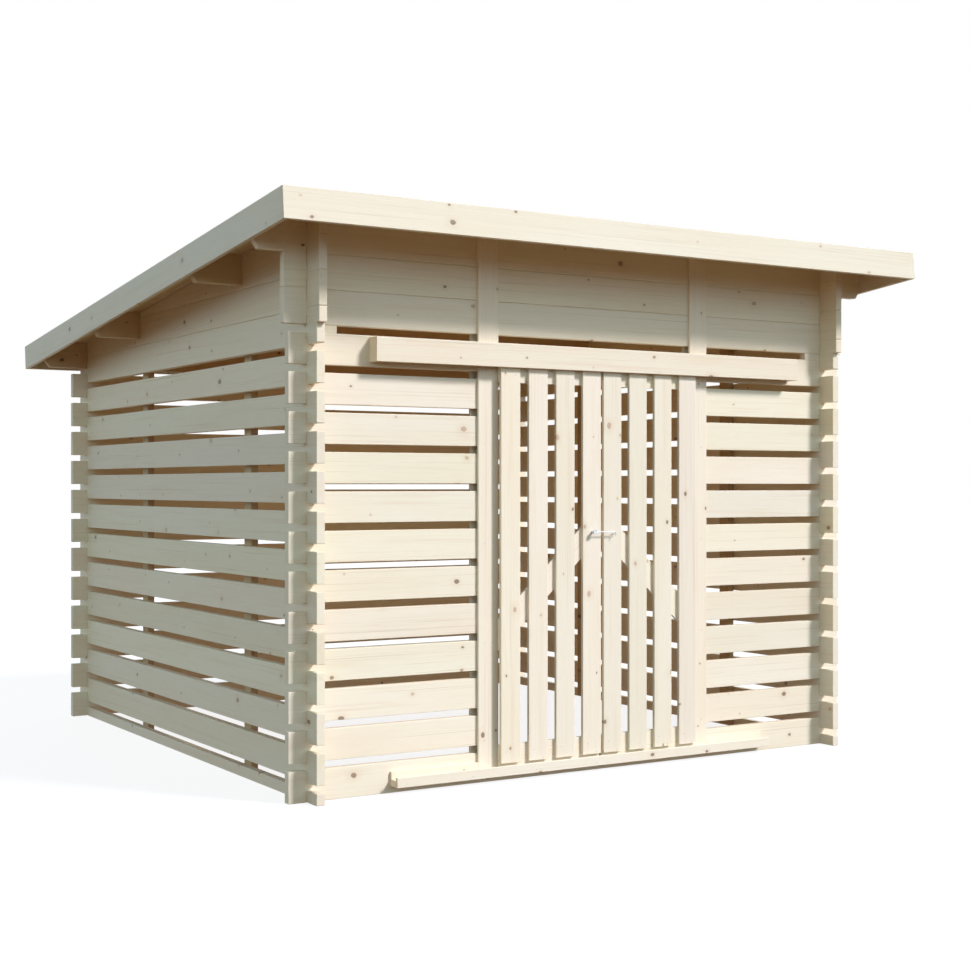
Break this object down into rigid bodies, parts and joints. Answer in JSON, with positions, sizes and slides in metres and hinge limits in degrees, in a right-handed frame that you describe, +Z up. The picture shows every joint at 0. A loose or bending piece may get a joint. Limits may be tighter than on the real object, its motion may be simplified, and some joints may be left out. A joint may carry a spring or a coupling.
{
  "type": "log store",
  "caption": "Slatted log-built firewood store with interlocking corners, a mono-pitch board roof falling to the back, and slatted sliding doors closed by a wire hook.",
  "frame": {"origin": "bottom centre of the whole store, under the roof's outline, on the ground", "axes": "+X to the right and +Y to the back when one faces the doors, +Z up; the depth along Y is the longest side and the height is the shortest"},
  "size_m": [3.122, 3.2756, 2.2503],
  "materials": {
    "log_timber": "planed untreated spruce",
    "roof_boards": "planed untreated spruce boards",
    "fascia_boards": "planed untreated spruce boards",
    "door_trim": "planed untreated spruce boards",
    "door_boards": "planed untreated spruce boards",
    "zinc_wire": "zinc-plated wire"
  },
  "bodies": {
    "store": {"front_sill_log": "log_timber", "front_left_slats": "log_timber", "front_right_slats": "log_timber", "front_lintel_log": "log_timber", "front_spacer_blocks": "log_timber", "front_top_log_1": "log_timber", "front_top_log_2": "log_timber", "front_purlin": "log_timber", "left_sill_log": "log_timber", "left_slats_lower": "log_timber", "left_slats_upper": "log_timber", "left_top_log_1": "log_timber", "left_top_log_2": "log_timber", "left_top_log_3": "log_timber", "left_top_log_4": "log_timber", "right_sill_log": "log_timber", "right_slats_lower": "log_timber", "right_slats_upper": "log_timber", "right_top_log_1": "log_timber", "right_top_log_2": "log_timber", "right_top_log_3": "log_timber", "right_top_log_4": "log_timber", "back_slats_lower": "log_timber", "back_slats_upper": "log_timber", "back_purlin": "log_timber", "middle_purlin_front": "log_timber", "middle_purlin_rear": "log_timber", "left_battens": "log_timber", "right_battens": "log_timber", "roof_deck": "roof_boards", "fascia_front": "fascia_boards", "fascia_back": "fascia_boards", "fascia_left": "fascia_boards", "fascia_right": "fascia_boards", "post_outer_boards": "door_trim", "post_webs": "door_trim", "post_inner_boards": "door_trim", "cover_front": "door_trim", "cover_top": "door_trim", "cover_ends": "door_trim", "rail_floor_board": "door_trim", "rail_lip": "door_trim", "rail_strips": "door_trim"},
    "left_leaf": {"left_leaf_slats": "door_boards", "left_leaf_ledges": "door_boards", "left_leaf_brace": "door_boards", "hook_pin": "zinc_wire"},
    "hook": {"hook": "zinc_wire"},
    "right_leaf": {"right_leaf_slats": "door_boards", "right_leaf_ledges": "door_boards", "right_leaf_brace": "door_boards", "hook_eye": "zinc_wire"}
  },
  "joints": [
    {"name": "left_leaf_slide", "type": "slide", "parent": "store", "child": "left_leaf", "axis": [-1, 0, 0], "range_m": [0, 0.47]},
    {"name": "right_leaf_slide", "type": "slide", "parent": "store", "child": "right_leaf", "axis": [1, 0, 0], "range_m": [0, 0.39]},
    {"name": "hook_lift", "type": "hinge", "parent": "left_leaf", "child": "hook", "pos_m": [-0.037, -1.3578, 0.999], "axis": [0, -1, 0], "range_deg": [0, 90]}
  ]
}
